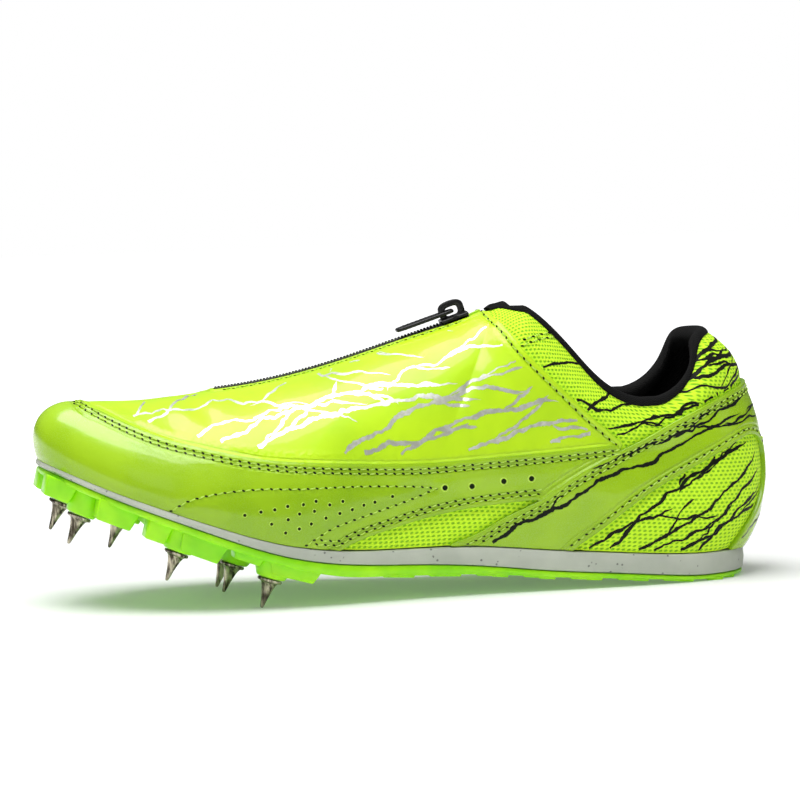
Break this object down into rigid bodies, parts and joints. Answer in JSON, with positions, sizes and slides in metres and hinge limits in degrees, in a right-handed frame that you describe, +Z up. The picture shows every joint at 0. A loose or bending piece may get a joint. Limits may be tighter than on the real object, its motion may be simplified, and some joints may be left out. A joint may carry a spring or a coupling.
{
  "type": "track spike shoe",
  "caption": "Low left running spike with a glossy zipped cover over the instep, thin foam sole and lugged forefoot plate with screw-in spikes.",
  "frame": {"origin": "on the floor under the middle of the shoe's box", "axes": "+X towards the heel, -Y towards the outer side of the foot, +Z up"},
  "size_m": [0.2804, 0.091, 0.1073],
  "materials": {
    "mesh_green": "bright green knit mesh",
    "patent_olive": "olive lime patent synthetic leather",
    "patent_lime": "yellow lime coated synthetic, silver printed streaks",
    "binding_black": "black folded edge tape",
    "lining_black": "black knit",
    "zip_black": "black zip",
    "foam_white": "pale speckled foam",
    "rubber_green": "bright green moulded sole",
    "spike_steel": "grey bronze steel"
  },
  "bodies": {
    "shoe": {"outsole": "rubber_green", "midsole": "foam_white", "insole": "lining_black", "upper": "mesh_green", "mudguard": "patent_olive", "heel_saddle": "patent_olive", "shroud": "patent_lime", "collar_binding": "binding_black", "zip_tape": "zip_black", "zip_slider": "zip_black", "spike_1": "spike_steel", "spike_2": "spike_steel", "spike_3": "spike_steel", "spike_4": "spike_steel", "spike_5": "spike_steel", "spike_6": "spike_steel", "spike_7": "spike_steel"},
    "pull": {"pull_tab": "zip_black"}
  },
  "joints": [
    {"name": "pull_swing", "type": "hinge", "parent": "shoe", "child": "pull", "pos_m": [0.01883, -0.0016, 0.10394], "axis": [0, 1, 0], "range_deg": [0, 165]}
  ]
}
